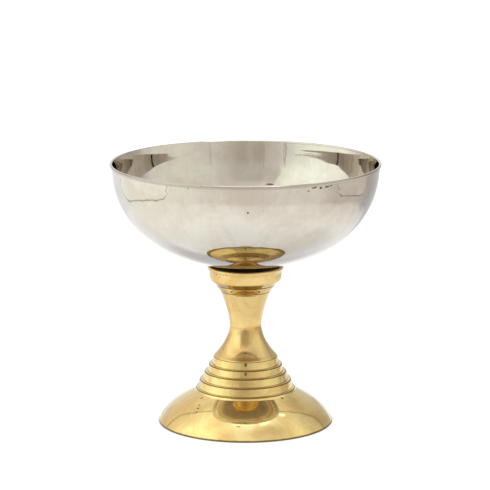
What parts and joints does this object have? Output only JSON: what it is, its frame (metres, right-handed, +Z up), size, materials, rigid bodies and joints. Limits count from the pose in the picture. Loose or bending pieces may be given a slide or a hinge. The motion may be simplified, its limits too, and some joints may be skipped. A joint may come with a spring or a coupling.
{
  "type": "communion chalice",
  "caption": "Low, wide communion chalice: a spun white-metal bowl that screws onto a turned brass stand with a waisted stem, stacked step rings and a domed foot.",
  "frame": {"origin": "centre of the plane that the foot stands on", "axes": "+Z up along the axis that every piece is turned about; X and Y are equivalent"},
  "size_m": [0.15, 0.15, 0.1467],
  "materials": {
    "bowl_metal": "polished, slightly clouded",
    "fixing_metal": "turned, unpolished",
    "steel": "threaded, zinc plated",
    "collar_brass": "polished, small pits",
    "stem_brass": "polished, fine turning lines",
    "ring_brass": "polished, dark tarnish in the joints",
    "foot_brass": "polished, a few pits",
    "washer_brass": "dull"
  },
  "bodies": {
    "stand": {"collar": "collar_brass", "neck_ring": "stem_brass", "stem": "stem_brass", "step_ring_1": "ring_brass", "step_ring_2": "ring_brass", "step_ring_3": "ring_brass", "step_ring_4": "ring_brass", "foot": "foot_brass", "tie_rod": "steel", "foot_washer": "washer_brass", "lock_washer": "steel", "foot_nut": "steel"},
    "thread": {"bowl_stud": "steel"},
    "cup": {"bowl": "bowl_metal", "bowl_boss": "fixing_metal"}
  },
  "joints": [
    {"name": "cup_rise", "type": "slide", "parent": "stand", "child": "thread", "axis": [0, 0, 1], "range_m": [0, 0.008]},
    {"name": "cup_unscrew", "type": "hinge", "parent": "thread", "child": "cup", "pos_m": [0, 0, 0.0885], "axis": [0, 0, 1], "range_deg": [0, 2304]}
  ],
  "couplings": [
    {"joint": "cup_rise", "follows": "cup_unscrew", "m_per_rad": 0.00019894}
  ]
}
